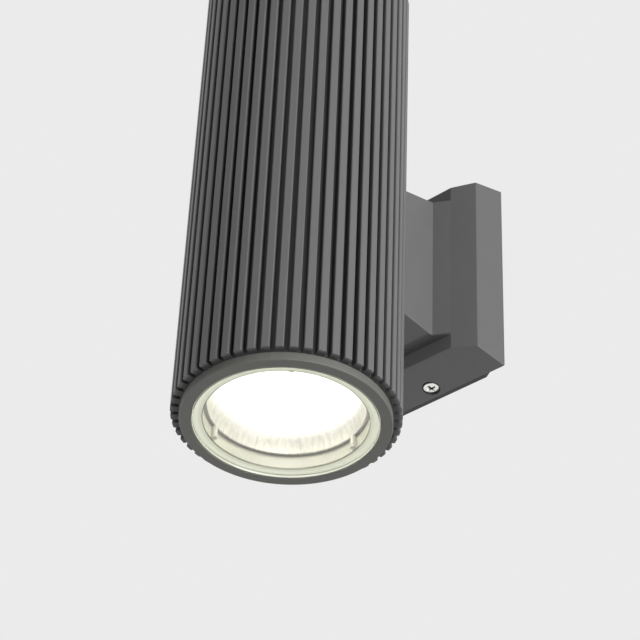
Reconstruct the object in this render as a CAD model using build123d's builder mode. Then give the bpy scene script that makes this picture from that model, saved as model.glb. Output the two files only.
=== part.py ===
from build123d import *
from math import cos, hypot, radians, sin
import os

# Wall light: a ribbed aluminium tube that shines down and up, held off the wall by a cast arm.
# X runs to the right along the wall, Y into the wall and Z up. Sizes are in millimetres.
# The origin is the centre of the wall gasket's back, so the wall is the plane Y = 0.

os.makedirs("parts", exist_ok=True)

# Ribbed tube
tube_diameter = 100.0
tube_length = 254.0
tube_wall = 2.5
rib_count = 52
rib_width = 3.7
rib_depth = 3.5
rib_edge = 0.6
port_count = 3
port_radius = 4.0
port_web = 5.0
port_inset = 4.6
port_first_angle = 30.0

# Bezel ring, glass and its seal at each end
rim_height = 4.0
rim_inset = 0.5
rim_face = 5.0
rim_edge = 0.6
ledge_thickness = 2.0
spigot_depth = 4.8
spigot_wall = 1.3
glass_thickness = 3.0
glass_recess = 0.2
glass_edge = 0.3
seal_width = 4.6
seal_thickness = 0.8

# Spacer ring with its posts, and the reflector
spacer_wall = 1.1
spacer_flange = 1.2
post_count = 3
post_first_angle = 75.0
post_radius = 1.4
post_standoff = 0.8
post_top_gap = 0.4
reflector_sheet = 0.8
reflector_lip = 1.7
reflector_depth = 28.0
reflector_neck = 11.0
reflector_bend_radius = 30.5
reflector_bend_height = 9.5

# Lamp module and its heat plate
holder_radius = 20.0
holder_thickness = 3.6
holder_mouth = 9.0
holder_screw_circle = 16.0
chip_side = 19.0
chip_thickness = 1.2
emitter_radius = 7.5
emitter_height = 0.5
heat_plate_thickness = 6.0
lead_hole_radius = 4.0
lead_hole_offset = 25.0

# Driver on its bracket
driver_width = 36.0
driver_depth = 24.0
driver_height = 84.0
driver_corner = 2.0
driver_offset = 6.0
driver_lug = 9.0
driver_lug_thickness = 2.0
driver_plate_thickness = 1.5
driver_plate_width = 30.0
driver_plate_margin = 4.0
foot_length = 15.0
foot_screw_pitch = 18.0

# Cast arm and base
reach = 108.0
base_width = 78.4
base_height = 108.8
base_side_depth = 16.3
shoulder_depth = 5.6
shoulder_width = 49.0
casting_draft = 0.2
casting_wall = 3.0
casting_edge = 0.7
arm_root_width = 33.4
arm_root_height = 83.4
flare_depth = 4.2
flare_drop = 0.4
arm_side_taper = 0.14
arm_end_taper = 0.19
arm_end_wall = 8.0
arm_tip_overrun = 3.0
arm_screw_pitch = 46.0
pad_side = 10.0
pad_skin = 0.5

# Wall plate with its tabs, and the gasket behind it
wall_gasket_thickness = 0.8
plate_thickness = 1.6
base_gap = 0.4
plate_width = 70.0
plate_height = 108.4
plate_corner = 8.0
tab_width = 16.0
tab_length = 13.0
tab_inset = 5.6
tab_hole_setback = 6.2
bend_radius = 0.8
cover_head_proud = 0.25
gasket_inset = 0.5
gasket_hole_margin = 0.6
hole_pitch_x = 54.0
hole_pitch_z = 76.0
hole_radius = 2.5
slot_pitch = 44.0
slot_length = 10.0
slot_width = 5.0
cable_entry_z = 24.0
cable_hole_radius = 7.0
cable_radius = 4.5
grommet_lip = 2.0
grommet_lip_thickness = 2.0

# Terminal block and earth point
terminal_pitch = 10.0
terminal_count = 3
terminal_height = 15.0
terminal_depth = 13.0
terminal_z = -25.0
terminal_end = 6.0
terminal_ear_thickness = 4.0
terminal_entry_radius = 1.6
terminal_well_radius = 1.9
terminal_well_depth = 3.5
terminal_screw_radius = 1.6
terminal_screw_height = 1.2
terminal_slot_width = 0.6
terminal_slot_depth = 0.5
earth_x = -23.0
earth_z = 22.0

# Wires, bush and arm gasket
arm_gasket_thickness = 1.0
backing_thickness = 4.0
backing_width = 20.0
backing_margin = 11.0
seat_depth = 1.5
bush_radius = 5.0
bush_wall = 1.2
bush_flange = 1.6
supply_wire_radius = 1.1
supply_circle = 1.75
supply_bend = 3.5
supply_tail = 6.0
supply_rise = 6.0
lead_radius = 0.8
lead_spacing = 2.0
lead_bend = 3.0
lead_rise = 12.0
lead_setback = 9.0

# Screws: head radius, head height and shank radius
small_screw = (2.7, 1.9, 1.5)
middle_screw = (3.7, 2.6, 2.0)
large_screw = (4.5, 3.2, 2.5)
recess_width = 0.8
recess_reach = 0.62
recess_depth = 0.55
head_rounding = 0.55
driver_screw_length = 3.0
foot_screw_length = 5.5
holder_screw_length = 6.0
plate_screw_length = 14.0
arm_screw_length = 13.5
cover_screw_length = 7.5
nut_radius = 3.4
nut_height = 2.8
washer_thickness = 0.8
washer_radius = 4.4

# Clearances
slide_fit = 0.1
turn_fit = 0.3
glass_gap = 0.5
screw_fit = 0.4
thread_fit = 0.05
head_fit = 0.45
tab_fit = 0.2
same_level = 1e-4

# Places that follow from the sizes above
tube_radius = tube_diameter / 2
root_radius = tube_radius - rib_depth
bore_radius = root_radius - tube_wall
half_length = tube_length / 2
port_circle = bore_radius - port_inset
rim_radius = root_radius - rim_inset
window_radius = rim_radius - rim_face
glass_radius = window_radius - glass_gap
throat_radius = glass_radius - seal_width
ledge_radius = throat_radius + spacer_wall + turn_fit
spigot_radius = bore_radius - slide_fit
glass_back = rim_height - glass_recess - glass_thickness
ledge_top = glass_back - seal_thickness
flange_radius = spigot_radius - slide_fit
reflector_rim = throat_radius - reflector_lip
reflector_top = -(spigot_depth + spacer_flange)
neck_level = reflector_top - reflector_sheet - reflector_depth
plate_top = neck_level - holder_thickness
inner_z = half_length + plate_top - heat_plate_thickness
heat_plate_radius = bore_radius - slide_fit
base_rear = -(wall_gasket_thickness + plate_thickness + base_gap)
plate_front = -(wall_gasket_thickness + plate_thickness)
side_end = base_rear - base_side_depth
base_front = side_end - shoulder_depth
arm_root = base_front - flare_depth
tube_axis = Axis((0, -reach, 0), (0, 0, 1))
tube_back = -reach + root_radius
arm_end = tube_back + arm_gasket_thickness
driver_y = -reach - driver_offset
driver_back = driver_y + driver_depth / 2
driver_front = driver_y - driver_depth / 2
tab_z = base_height / 2 - tab_inset
cover_screw_y = plate_front - tab_hole_setback
terminal_width = terminal_count * terminal_pitch
terminal_screw_x = (terminal_width + terminal_end) / 2
terminal_entry_y = plate_front - terminal_depth / 2
terminal_top = terminal_z + terminal_height / 2
foot_offset = driver_offset + driver_depth / 2 + driver_plate_thickness - foot_length / 2
hollow_end = arm_end + arm_end_wall
hollow_start = base_front + casting_wall
ends = (("lower", -1), ("upper", 1))


def end_plane(side, level=0.0):
    """Plane across the tube, level above its end face, facing out of that end."""
    z = side * (half_length + level)
    return Plane(origin=(0, -reach, z), x_dir=(1, 0, 0), z_dir=(0, 0, side))


def axial_plane(side):
    """Plane through the tube's axis: local x is the radius, local y the height above that end."""
    return Plane(origin=(0, -reach, side * half_length), x_dir=(1, 0, 0), z_dir=(0, -side, 0))


def front_plane(y, x=0.0, z=0.0):
    """Plane parallel to the wall at y, facing away from the wall, with local y along Z."""
    return Plane(origin=(x, y, z), x_dir=(1, 0, 0), z_dir=(0, -1, 0))


def half_height(y):
    """Half the height of the drafted base at depth y."""
    return base_height / 2 - casting_draft * (base_rear - y)


def arm_width(y):
    """Width of the tapered arm at depth y."""
    return arm_root_width - 2 * arm_side_taper * (arm_root - y)


def arm_height(y):
    """Height of the tapered arm at depth y."""
    return arm_root_height - 2 * arm_end_taper * (arm_root - y)


cover_seat_z = half_height(cover_screw_y) + cover_head_proud - middle_screw[1]


def round_places(radius, count, first_angle):
    """Points spaced evenly on a circle."""
    angles = [radians(first_angle + 360 * i / count) for i in range(count)]
    return [(radius * cos(a), radius * sin(a)) for a in angles]


def pan_screws(seats, size, length):
    """Pan-head screws with a cross recess, one head standing on each seat plane."""
    head_radius, head_height, shank_radius = size
    tops = [seat.offset(head_height) for seat in seats]
    with BuildPart() as screws:
        with BuildSketch(*seats):
            Circle(head_radius)
        extrude(amount=head_height)
        rims = screws.edges().filter_by(GeomType.CIRCLE).filter_by(lambda edge: on_planes(edge, tops))
        fillet(rims, head_height * head_rounding)
        with BuildSketch(*seats):
            Circle(shank_radius)
        extrude(amount=-length)
        with BuildSketch(*tops):
            Rectangle(2 * head_radius * recess_reach, recess_width)
            Rectangle(recess_width, 2 * head_radius * recess_reach)
        extrude(amount=-head_height * recess_depth, mode=Mode.SUBTRACT)
    return screws


def on_planes(edge, planes):
    """Whether the edge's centre lies on one of the planes."""
    centre = edge.center(CenterOf.BOUNDING_BOX)
    return any(abs(plane.to_local_coords(centre).Z) < same_level for plane in planes)


def end_seats(level, radius, count, first_angle=0.0):
    """Seat planes on a circle at both ends for screws driven inward, the two sets mirrored."""
    seats = []
    for end, side in ends:
        plane = end_plane(side, level)
        for place in round_places(radius, count, side * first_angle):
            seats.append(Plane(origin=plane.from_local_coords((*place, 0)), z_dir=plane.z_dir))
    return seats


# Tube: the ribbed extrusion, with ports for the heat plates' screws between its bored ends
with BuildPart() as tube_housing:
    with BuildSketch(end_plane(-1)) as section:
        Circle(root_radius)
        with PolarLocations(root_radius - tube_wall / 2 + rib_depth / 2, rib_count, 180 / rib_count):
            Rectangle(rib_depth + tube_wall, rib_width)
        tips = section.vertices().filter_by(lambda v: hypot(v.X, v.Y) > root_radius + rib_depth / 2)
        fillet(tips, rib_edge)
        Circle(bore_radius, mode=Mode.SUBTRACT)
    extrude(amount=-tube_length)
    rib_tips = tube_radius - reach
    with BuildSketch(front_plane(rib_tips + rib_depth)):
        Rectangle(arm_width(rib_tips) + 2 * turn_fit, arm_height(rib_tips) + 2 * turn_fit)
    extrude(amount=2 * rib_depth + tube_wall, mode=Mode.SUBTRACT)
    with BuildSketch(end_plane(-1)):
        Circle(root_radius)
        Circle(bore_radius, mode=Mode.SUBTRACT)
    extrude(amount=-tube_length)
    with BuildSketch(Plane(origin=(0, -reach, -inner_z))):
        with PolarLocations(port_circle, port_count, port_first_angle):
            Circle(port_radius)
        with PolarLocations(port_circle + port_inset / 2, port_count, port_first_angle):
            Rectangle(port_inset + tube_wall, port_web)
        with PolarLocations(port_circle, port_count, port_first_angle):
            Circle(middle_screw[2] + thread_fit, mode=Mode.SUBTRACT)
    extrude(amount=2 * inner_z)
    with BuildSketch(front_plane(tube_back + rib_depth)):
        Circle(bush_radius + slide_fit)
        with GridLocations(0, arm_screw_pitch, 1, 2):
            Circle(large_screw[2] + screw_fit)
    extrude(amount=root_radius, mode=Mode.SUBTRACT)
tube_housing.part.label = "tube_housing"
export_step(tube_housing.part, "parts/tube_housing.step")

# The two lit ends are alike: each has the same stack of pieces, turned over at the lower end
for end, side in ends:
    with BuildPart() as bezel_ring:
        with BuildSketch(axial_plane(side)) as profile:
            with BuildLine():
                Polyline(
                    (window_radius, ledge_top),
                    (window_radius, rim_height),
                    (rim_radius, rim_height),
                    (rim_radius, 0),
                    (spigot_radius, 0),
                    (spigot_radius, -spigot_depth),
                    (spigot_radius - spigot_wall, -spigot_depth),
                    (spigot_radius - spigot_wall, ledge_top - ledge_thickness),
                    (ledge_radius, ledge_top - ledge_thickness),
                    (ledge_radius, ledge_top),
                    close=True,
                )
            make_face()
            corners = profile.vertices().filter_by(lambda v: abs(v.Y - rim_height) < rim_edge).sort_by(Axis.X)
            fillet(corners[-1], rim_edge)
            fillet(corners[0], rim_edge / 2)
        revolve(axis=tube_axis)
    bezel_ring.part.label = f"{end}_bezel_ring"
    export_step(bezel_ring.part, f"parts/{end}_bezel_ring.step")

    with BuildPart() as glass:
        with BuildSketch(end_plane(side, glass_back)):
            Circle(glass_radius)
        extrude(amount=glass_thickness)
        chamfer(glass.edges(), glass_edge)
    glass.part.label = f"{end}_glass"
    export_step(glass.part, f"parts/{end}_glass.step")

    with BuildPart() as glass_seal:
        with BuildSketch(end_plane(side, ledge_top)):
            Circle(glass_radius)
            Circle(throat_radius, mode=Mode.SUBTRACT)
        extrude(amount=seal_thickness)
    glass_seal.part.label = f"{end}_glass_seal"
    export_step(glass_seal.part, f"parts/{end}_glass_seal.step")

    with BuildPart() as spacer_ring:
        with BuildSketch(axial_plane(side)):
            with BuildLine():
                Polyline(
                    (throat_radius, reflector_top),
                    (throat_radius, ledge_top),
                    (throat_radius + spacer_wall, ledge_top),
                    (throat_radius + spacer_wall, -spigot_depth),
                    (flange_radius, -spigot_depth),
                    (flange_radius, reflector_top),
                    close=True,
                )
            make_face()
        revolve(axis=tube_axis)
        with BuildSketch(end_plane(side, reflector_top)):
            with Locations(*round_places(throat_radius - post_standoff, post_count, side * post_first_angle)):
                Circle(post_radius)
        extrude(amount=ledge_top - post_top_gap - reflector_top)
    spacer_ring.part.label = f"{end}_spacer_ring"
    export_step(spacer_ring.part, f"parts/{end}_spacer_ring.step")

    # The bowl leaves its neck flat and meets its rim steeply: one curve with one control point
    with BuildPart() as reflector:
        with BuildSketch(axial_plane(side)):
            rim_level = reflector_top - reflector_sheet
            bend_level = neck_level + reflector_bend_height
            with BuildLine():
                Bezier(
                    (reflector_neck, neck_level),
                    (reflector_bend_radius, bend_level),
                    (reflector_rim, rim_level),
                )
                Polyline(
                    (reflector_rim, rim_level),
                    (reflector_rim, reflector_top),
                    (flange_radius, reflector_top),
                    (flange_radius, rim_level),
                    (reflector_rim + reflector_sheet, rim_level),
                )
                Bezier(
                    (reflector_rim + reflector_sheet, rim_level),
                    (reflector_bend_radius + reflector_sheet, bend_level),
                    (reflector_neck + reflector_sheet, neck_level),
                )
                Line((reflector_neck + reflector_sheet, neck_level), (reflector_neck, neck_level))
            make_face()
        revolve(axis=tube_axis)
    reflector.part.label = f"{end}_reflector"
    export_step(reflector.part, f"parts/{end}_reflector.step")

    with BuildPart() as led_holder:
        with BuildSketch(end_plane(side, plate_top)):
            Circle(holder_radius)
            Circle(holder_mouth, mode=Mode.SUBTRACT)
            with Locations(*round_places(holder_screw_circle, 2, 0)):
                Circle(small_screw[2] + screw_fit, mode=Mode.SUBTRACT)
        extrude(amount=holder_thickness)
        with BuildSketch(end_plane(side, plate_top)):
            Rectangle(chip_side + 2 * turn_fit, chip_side + 2 * turn_fit)
        extrude(amount=chip_thickness, mode=Mode.SUBTRACT)
        with BuildSketch(end_plane(side, neck_level - small_screw[1])):
            with Locations(*round_places(holder_screw_circle, 2, 0)):
                Circle(small_screw[0] + turn_fit)
        extrude(amount=small_screw[1], mode=Mode.SUBTRACT)
    led_holder.part.label = f"{end}_led_holder"
    export_step(led_holder.part, f"parts/{end}_led_holder.step")

    with BuildPart() as led_chip:
        with BuildSketch(end_plane(side, plate_top)):
            Rectangle(chip_side, chip_side)
        extrude(amount=chip_thickness)
        with BuildSketch(end_plane(side, plate_top + chip_thickness)):
            Circle(emitter_radius)
        extrude(amount=emitter_height)
    led_chip.part.label = f"{end}_led_chip"
    export_step(led_chip.part, f"parts/{end}_led_chip.step")

    with BuildPart() as heat_plate:
        with BuildSketch(end_plane(side, plate_top - heat_plate_thickness)):
            Circle(heat_plate_radius)
            with Locations(*round_places(port_circle, port_count, side * port_first_angle)):
                Circle(middle_screw[2] + screw_fit, mode=Mode.SUBTRACT)
            with Locations(*round_places(holder_screw_circle, 2, 0)):
                Circle(small_screw[2] + thread_fit, mode=Mode.SUBTRACT)
            with Locations((0, side * lead_hole_offset)):
                Circle(lead_hole_radius, mode=Mode.SUBTRACT)
        extrude(amount=heat_plate_thickness)
        with BuildSketch(end_plane(side, plate_top - heat_plate_thickness)):
            with Locations((0, -side * foot_offset)):
                with GridLocations(foot_screw_pitch, 0, 2, 1):
                    Circle(small_screw[2] + thread_fit)
        extrude(amount=foot_screw_length - driver_plate_thickness, mode=Mode.SUBTRACT)
    heat_plate.part.label = f"{end}_heat_plate"
    export_step(heat_plate.part, f"parts/{end}_heat_plate.step")

# Screws that hold the lamp modules and the heat plates at both ends
holder_seats = end_seats(neck_level - small_screw[1], holder_screw_circle, 2)
led_holder_screws = pan_screws(holder_seats, small_screw, holder_screw_length)
led_holder_screws.part.label = "led_holder_screws"
export_step(led_holder_screws.part, "parts/led_holder_screws.step")

port_seats = end_seats(plate_top, port_circle, port_count, port_first_angle)
heat_plate_screws = pan_screws(port_seats, middle_screw, plate_screw_length)
heat_plate_screws.part.label = "heat_plate_screws"
export_step(heat_plate_screws.part, "parts/heat_plate_screws.step")

# Driver: a potted box with a lug at each end, on an angle bracket that stands on the lower plate
with BuildPart() as driver_bracket:
    with BuildSketch(Plane(origin=(0, driver_front, -inner_z))):
        Rectangle(driver_plate_width, driver_plate_thickness, align=(Align.CENTER, Align.MAX))
    extrude(amount=inner_z + driver_height / 2 + driver_lug + driver_plate_margin)
    with BuildSketch(Plane(origin=(0, driver_front - driver_plate_thickness, -inner_z))):
        Rectangle(driver_plate_width, foot_length, align=(Align.CENTER, Align.MIN))
        with Locations((0, foot_length / 2)):
            with GridLocations(foot_screw_pitch, 0, 2, 1):
                Circle(small_screw[2] + screw_fit, mode=Mode.SUBTRACT)
    extrude(amount=driver_plate_thickness)
    with BuildSketch(front_plane(driver_front)):
        with GridLocations(0, driver_height + driver_lug, 1, 2):
            Circle(small_screw[2] + thread_fit)
    extrude(amount=driver_plate_thickness, mode=Mode.SUBTRACT)
driver_bracket.part.label = "driver_bracket"
export_step(driver_bracket.part, "parts/driver_bracket.step")

with BuildPart() as led_driver:
    with BuildSketch(Plane(origin=(0, driver_y, -driver_height / 2))):
        RectangleRounded(driver_width, driver_depth, driver_corner)
    extrude(amount=driver_height)
    with BuildSketch(front_plane(driver_front + driver_lug_thickness)):
        RectangleRounded(driver_plate_width, driver_height + 2 * driver_lug, driver_corner)
        with GridLocations(0, driver_height + driver_lug, 1, 2):
            Circle(small_screw[2] + screw_fit, mode=Mode.SUBTRACT)
    extrude(amount=driver_lug_thickness)
led_driver.part.label = "led_driver"
export_step(led_driver.part, "parts/led_driver.step")

lug_seat_y = driver_front + driver_lug_thickness
lug_seats = [
    Plane(origin=(0, lug_seat_y, side * (driver_height + driver_lug) / 2), z_dir=(0, 1, 0))
    for end, side in ends
]
driver_screws = pan_screws(lug_seats, small_screw, driver_screw_length)
driver_screws.part.label = "driver_screws"
export_step(driver_screws.part, "parts/driver_screws.step")

foot_seats = [
    Plane((hand * foot_screw_pitch / 2, -reach - foot_offset, driver_plate_thickness - inner_z))
    for hand in (-1, 1)
]
foot_screws = pan_screws(foot_seats, small_screw, foot_screw_length)
foot_screws.part.label = "foot_screws"
export_step(foot_screws.part, "parts/foot_screws.step")

# Leads from each end of the driver, through the heat plate's hole, to the side of the lamp holder
for end, side in ends:
    lead_start = side * driver_height / 2
    lead_level = side * (half_length + plate_top + holder_thickness / 2)
    with BuildPart() as led_leads:
        for x in (-lead_spacing, lead_spacing):
            with BuildLine() as lead_route:
                FilletPolyline(
                    (x, -reach, lead_start),
                    (x, -reach, lead_start + side * lead_rise),
                    (x, lead_hole_offset - reach, side * (inner_z - lead_setback)),
                    (x, lead_hole_offset - reach, lead_level),
                    (x, holder_radius - reach, lead_level),
                    radius=lead_bend,
                )
            with BuildSketch(Plane(origin=lead_route.line @ 0, z_dir=lead_route.line % 0)):
                Circle(lead_radius)
            sweep()
    led_leads.part.label = f"{end}_led_leads"
    export_step(led_leads.part, f"parts/{end}_led_leads.step")

def is_base_edge(edge):
    """Whether a base edge is rounded: all but the rear ones and the two that the flare grows from."""
    centre = edge.center()
    flare_side = abs(centre.Y - base_front) < same_level and abs(centre.X) > same_level
    return centre.Y < base_rear - casting_edge and not flare_side


# Cast wall bracket: drafted base with bevelled shoulders, and the arm that narrows to the tube
with BuildPart() as wall_bracket:
    with BuildSketch(front_plane(base_rear)):
        Rectangle(base_width, base_height)
    with BuildSketch(front_plane(side_end)):
        Rectangle(base_width - 2 * casting_draft * base_side_depth, 2 * half_height(side_end))
    loft(ruled=True)
    with BuildSketch(front_plane(side_end)):
        Rectangle(base_width - 2 * casting_draft * base_side_depth, 2 * half_height(side_end))
    with BuildSketch(front_plane(base_front)):
        Rectangle(shoulder_width, 2 * half_height(base_front))
    loft(ruled=True)
    fillet(wall_bracket.edges().filter_by(is_base_edge), casting_edge)
    with BuildSketch(front_plane(base_front)):
        RectangleRounded(shoulder_width, arm_root_height + 2 * flare_drop, casting_edge)
    with BuildSketch(front_plane(arm_root)):
        RectangleRounded(arm_root_width, arm_root_height, casting_edge)
    loft(ruled=True)
    arm_tip = arm_end - arm_tip_overrun
    with BuildSketch(front_plane(arm_root)):
        RectangleRounded(arm_root_width, arm_root_height, casting_edge)
    with BuildSketch(front_plane(arm_tip)):
        RectangleRounded(arm_width(arm_tip), arm_height(arm_tip), casting_edge)
    loft(ruled=True)
    with BuildSketch(Plane(origin=(0, -reach, -arm_root_height / 2))):
        Circle(root_radius + arm_gasket_thickness)
    extrude(amount=arm_root_height, mode=Mode.SUBTRACT)
    with BuildSketch(front_plane(base_rear)):
        Rectangle(base_width - 2 * casting_wall, base_height - 2 * casting_wall)
    with BuildSketch(front_plane(side_end)):
        Rectangle(
            base_width - 2 * casting_draft * base_side_depth - 2 * casting_wall,
            2 * half_height(side_end) - 2 * casting_wall,
        )
    loft(ruled=True, mode=Mode.SUBTRACT)
    with BuildSketch(front_plane(side_end)):
        Rectangle(
            base_width - 2 * casting_draft * base_side_depth - 2 * casting_wall,
            2 * half_height(side_end) - 2 * casting_wall,
        )
    with BuildSketch(front_plane(hollow_start)):
        Rectangle(shoulder_width, 2 * half_height(base_front) - 2 * casting_wall)
    loft(ruled=True, mode=Mode.SUBTRACT)
    with BuildSketch(front_plane(hollow_start)):
        Rectangle(arm_root_width - 2 * casting_wall, arm_root_height - 2 * casting_wall)
    with BuildSketch(front_plane(hollow_end)):
        Rectangle(arm_width(hollow_end) - 2 * casting_wall, arm_height(hollow_end) - 2 * casting_wall)
    loft(ruled=True, mode=Mode.SUBTRACT)
    for side in (-1, 1):
        pad_top = half_height(cover_screw_y - pad_side / 2) - pad_skin
        with BuildSketch(Plane(origin=(0, cover_screw_y, side * (tab_z + tab_fit)), z_dir=(0, 0, side))):
            Rectangle(pad_side, pad_side)
        extrude(amount=pad_top - tab_z - tab_fit)
        with BuildSketch(Plane(origin=(0, cover_screw_y, side * tab_z), z_dir=(0, 0, side))):
            Circle(middle_screw[2] + screw_fit)
        extrude(amount=tab_inset, mode=Mode.SUBTRACT)
        with BuildSketch(Plane(origin=(0, cover_screw_y, side * cover_seat_z), z_dir=(0, 0, side))):
            Circle(middle_screw[0] + head_fit)
        extrude(amount=tab_inset, mode=Mode.SUBTRACT)
    with BuildSketch(front_plane(hollow_end)):
        Circle(bush_radius + slide_fit)
        with GridLocations(0, arm_screw_pitch, 1, 2):
            Circle(large_screw[2] + thread_fit)
    extrude(amount=arm_end_wall + arm_tip_overrun, mode=Mode.SUBTRACT)
wall_bracket.part.label = "wall_bracket"
export_step(wall_bracket.part, "parts/wall_bracket.step")

cover_seats = [Plane(origin=(0, cover_screw_y, side * cover_seat_z), z_dir=(0, 0, side)) for side in (-1, 1)]
cover_screws = pan_screws(cover_seats, middle_screw, cover_screw_length)
cover_screws.part.label = "cover_screws"
export_step(cover_screws.part, "parts/cover_screws.step")

# Joint of the arm and the tube: gasket outside, backing plate inside, two screws and a wire bush
with BuildPart() as arm_gasket:
    with BuildSketch(Plane(origin=(0, -reach, -arm_height(arm_end) / 2))):
        Circle(root_radius + arm_gasket_thickness)
        Circle(root_radius, mode=Mode.SUBTRACT)
    extrude(amount=arm_height(arm_end))
    with BuildSketch(front_plane(arm_end)):
        Rectangle(arm_width(arm_end), arm_height(arm_end))
        Circle(bush_radius + slide_fit, mode=Mode.SUBTRACT)
        with GridLocations(0, arm_screw_pitch, 1, 2):
            Circle(large_screw[2] + screw_fit, mode=Mode.SUBTRACT)
    extrude(amount=root_radius, mode=Mode.INTERSECT)
arm_gasket.part.label = "arm_gasket"
export_step(arm_gasket.part, "parts/arm_gasket.step")

backing_height = arm_screw_pitch + 2 * backing_margin
seat_y = bore_radius - backing_thickness + seat_depth - reach
with BuildPart() as backing_plate:
    with BuildSketch(Plane(origin=(0, -reach, -backing_height / 2))):
        Circle(bore_radius)
        Circle(bore_radius - backing_thickness, mode=Mode.SUBTRACT)
    extrude(amount=backing_height)
    with BuildSketch(front_plane(bore_radius - reach)):
        Rectangle(backing_width, backing_height)
        Circle(bush_radius + slide_fit, mode=Mode.SUBTRACT)
        with GridLocations(0, arm_screw_pitch, 1, 2):
            Circle(large_screw[2] + screw_fit, mode=Mode.SUBTRACT)
    extrude(amount=bore_radius, mode=Mode.INTERSECT)
    with BuildSketch(front_plane(seat_y)):
        Circle(bush_radius + bush_flange + slide_fit)
        with GridLocations(0, arm_screw_pitch, 1, 2):
            Circle(large_screw[0] + head_fit)
    extrude(amount=backing_thickness, mode=Mode.SUBTRACT)
backing_plate.part.label = "backing_plate"
export_step(backing_plate.part, "parts/backing_plate.step")

arm_seats = [front_plane(seat_y, 0, side * arm_screw_pitch / 2) for side in (-1, 1)]
arm_screws = pan_screws(arm_seats, large_screw, arm_screw_length)
arm_screws.part.label = "arm_screws"
export_step(arm_screws.part, "parts/arm_screws.step")

with BuildPart() as wire_bush:
    with BuildSketch(front_plane(seat_y)):
        Circle(bush_radius + bush_flange)
    extrude(amount=bush_flange)
    with BuildSketch(front_plane(hollow_end + bush_flange)):
        Circle(bush_radius)
    extrude(amount=hollow_end + bush_flange - seat_y)
    with BuildSketch(front_plane(hollow_end + bush_flange)):
        Circle(bush_radius - bush_wall)
    extrude(amount=hollow_end - seat_y + 2 * bush_flange, mode=Mode.SUBTRACT)
wire_bush.part.label = "wire_bush"
export_step(wire_bush.part, "parts/wire_bush.step")

def on_bend(edge):
    """Whether the edge is the inner corner where a tab meets the plate's front."""
    centre = edge.center()
    return abs(centre.Y - plate_front) < same_level and abs(abs(centre.Z) - tab_z) < same_level


# Wall plate: its two tabs are cut from the windows and bent forward to take the cover screws
with BuildPart() as wall_plate:
    with BuildSketch(front_plane(-wall_gasket_thickness)) as plate_outline:
        Rectangle(plate_width, plate_height)
        chamfer(plate_outline.vertices(), plate_corner)
        with GridLocations(hole_pitch_x, hole_pitch_z, 2, 2):
            Circle(hole_radius, mode=Mode.SUBTRACT)
        with GridLocations(slot_pitch, 0, 2, 1):
            SlotOverall(slot_length, slot_width, mode=Mode.SUBTRACT)
        with Locations((0, cable_entry_z)):
            Circle(cable_hole_radius, mode=Mode.SUBTRACT)
        with GridLocations(0, 2 * (tab_z - plate_thickness) - tab_length, 1, 2):
            Rectangle(tab_width, tab_length, mode=Mode.SUBTRACT)
        with Locations((earth_x, earth_z)):
            Circle(middle_screw[2] + thread_fit, mode=Mode.SUBTRACT)
        with Locations((-terminal_screw_x, terminal_z), (terminal_screw_x, terminal_z)):
            Circle(small_screw[2] + thread_fit, mode=Mode.SUBTRACT)
    extrude(amount=plate_thickness)
    with BuildSketch(front_plane(-wall_gasket_thickness)):
        with GridLocations(0, 2 * tab_z - plate_thickness, 1, 2):
            Rectangle(tab_width, plate_thickness)
    extrude(amount=plate_thickness + tab_length)
    with BuildSketch(Plane(origin=(0, cover_screw_y, tab_z))):
        Circle(middle_screw[2] + screw_fit)
    extrude(amount=-2 * tab_z, mode=Mode.SUBTRACT)
    bends = wall_plate.edges().filter_by(Axis.X).filter_by(on_bend)
    fillet(bends, bend_radius)
wall_plate.part.label = "wall_plate"
export_step(wall_plate.part, "parts/wall_plate.step")

with BuildPart() as wall_gasket:
    with BuildSketch(front_plane(0)) as gasket_outline:
        Rectangle(plate_width - 2 * gasket_inset, plate_height - 2 * gasket_inset)
        chamfer(gasket_outline.vertices(), plate_corner)
        with GridLocations(hole_pitch_x, hole_pitch_z, 2, 2):
            Circle(hole_radius + gasket_hole_margin, mode=Mode.SUBTRACT)
        with GridLocations(slot_pitch, 0, 2, 1):
            gasket_slot_width = slot_width + 2 * gasket_hole_margin
            SlotOverall(slot_length + 2 * gasket_hole_margin, gasket_slot_width, mode=Mode.SUBTRACT)
        with Locations((0, cable_entry_z)):
            Circle(cable_hole_radius + grommet_lip + turn_fit, mode=Mode.SUBTRACT)
    extrude(amount=wall_gasket_thickness)
wall_gasket.part.label = "wall_gasket"
export_step(wall_gasket.part, "parts/wall_gasket.step")

with BuildPart() as tab_nuts:
    for side in (-1, 1):
        nut_seat = Plane(origin=(0, cover_screw_y, side * (tab_z - plate_thickness)), z_dir=(0, 0, -side))
        with BuildSketch(nut_seat):
            RegularPolygon(nut_radius, 6)
            Circle(middle_screw[2] + thread_fit, mode=Mode.SUBTRACT)
        extrude(amount=nut_height)
tab_nuts.part.label = "tab_nuts"
export_step(tab_nuts.part, "parts/tab_nuts.step")

with BuildPart() as cable_grommet:
    with BuildSketch(front_plane(0, 0, cable_entry_z)):
        Circle(cable_hole_radius + grommet_lip)
    extrude(amount=wall_gasket_thickness)
    with BuildSketch(front_plane(0, 0, cable_entry_z)):
        Circle(cable_hole_radius - slide_fit)
    extrude(amount=-plate_front)
    with BuildSketch(front_plane(plate_front, 0, cable_entry_z)):
        Circle(cable_hole_radius + grommet_lip)
    extrude(amount=grommet_lip_thickness)
    with BuildSketch(front_plane(0, 0, cable_entry_z)):
        Circle(cable_radius)
    extrude(amount=grommet_lip_thickness - plate_front, mode=Mode.SUBTRACT)
cable_grommet.part.label = "cable_grommet"
export_step(cable_grommet.part, "parts/cable_grommet.step")

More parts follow.
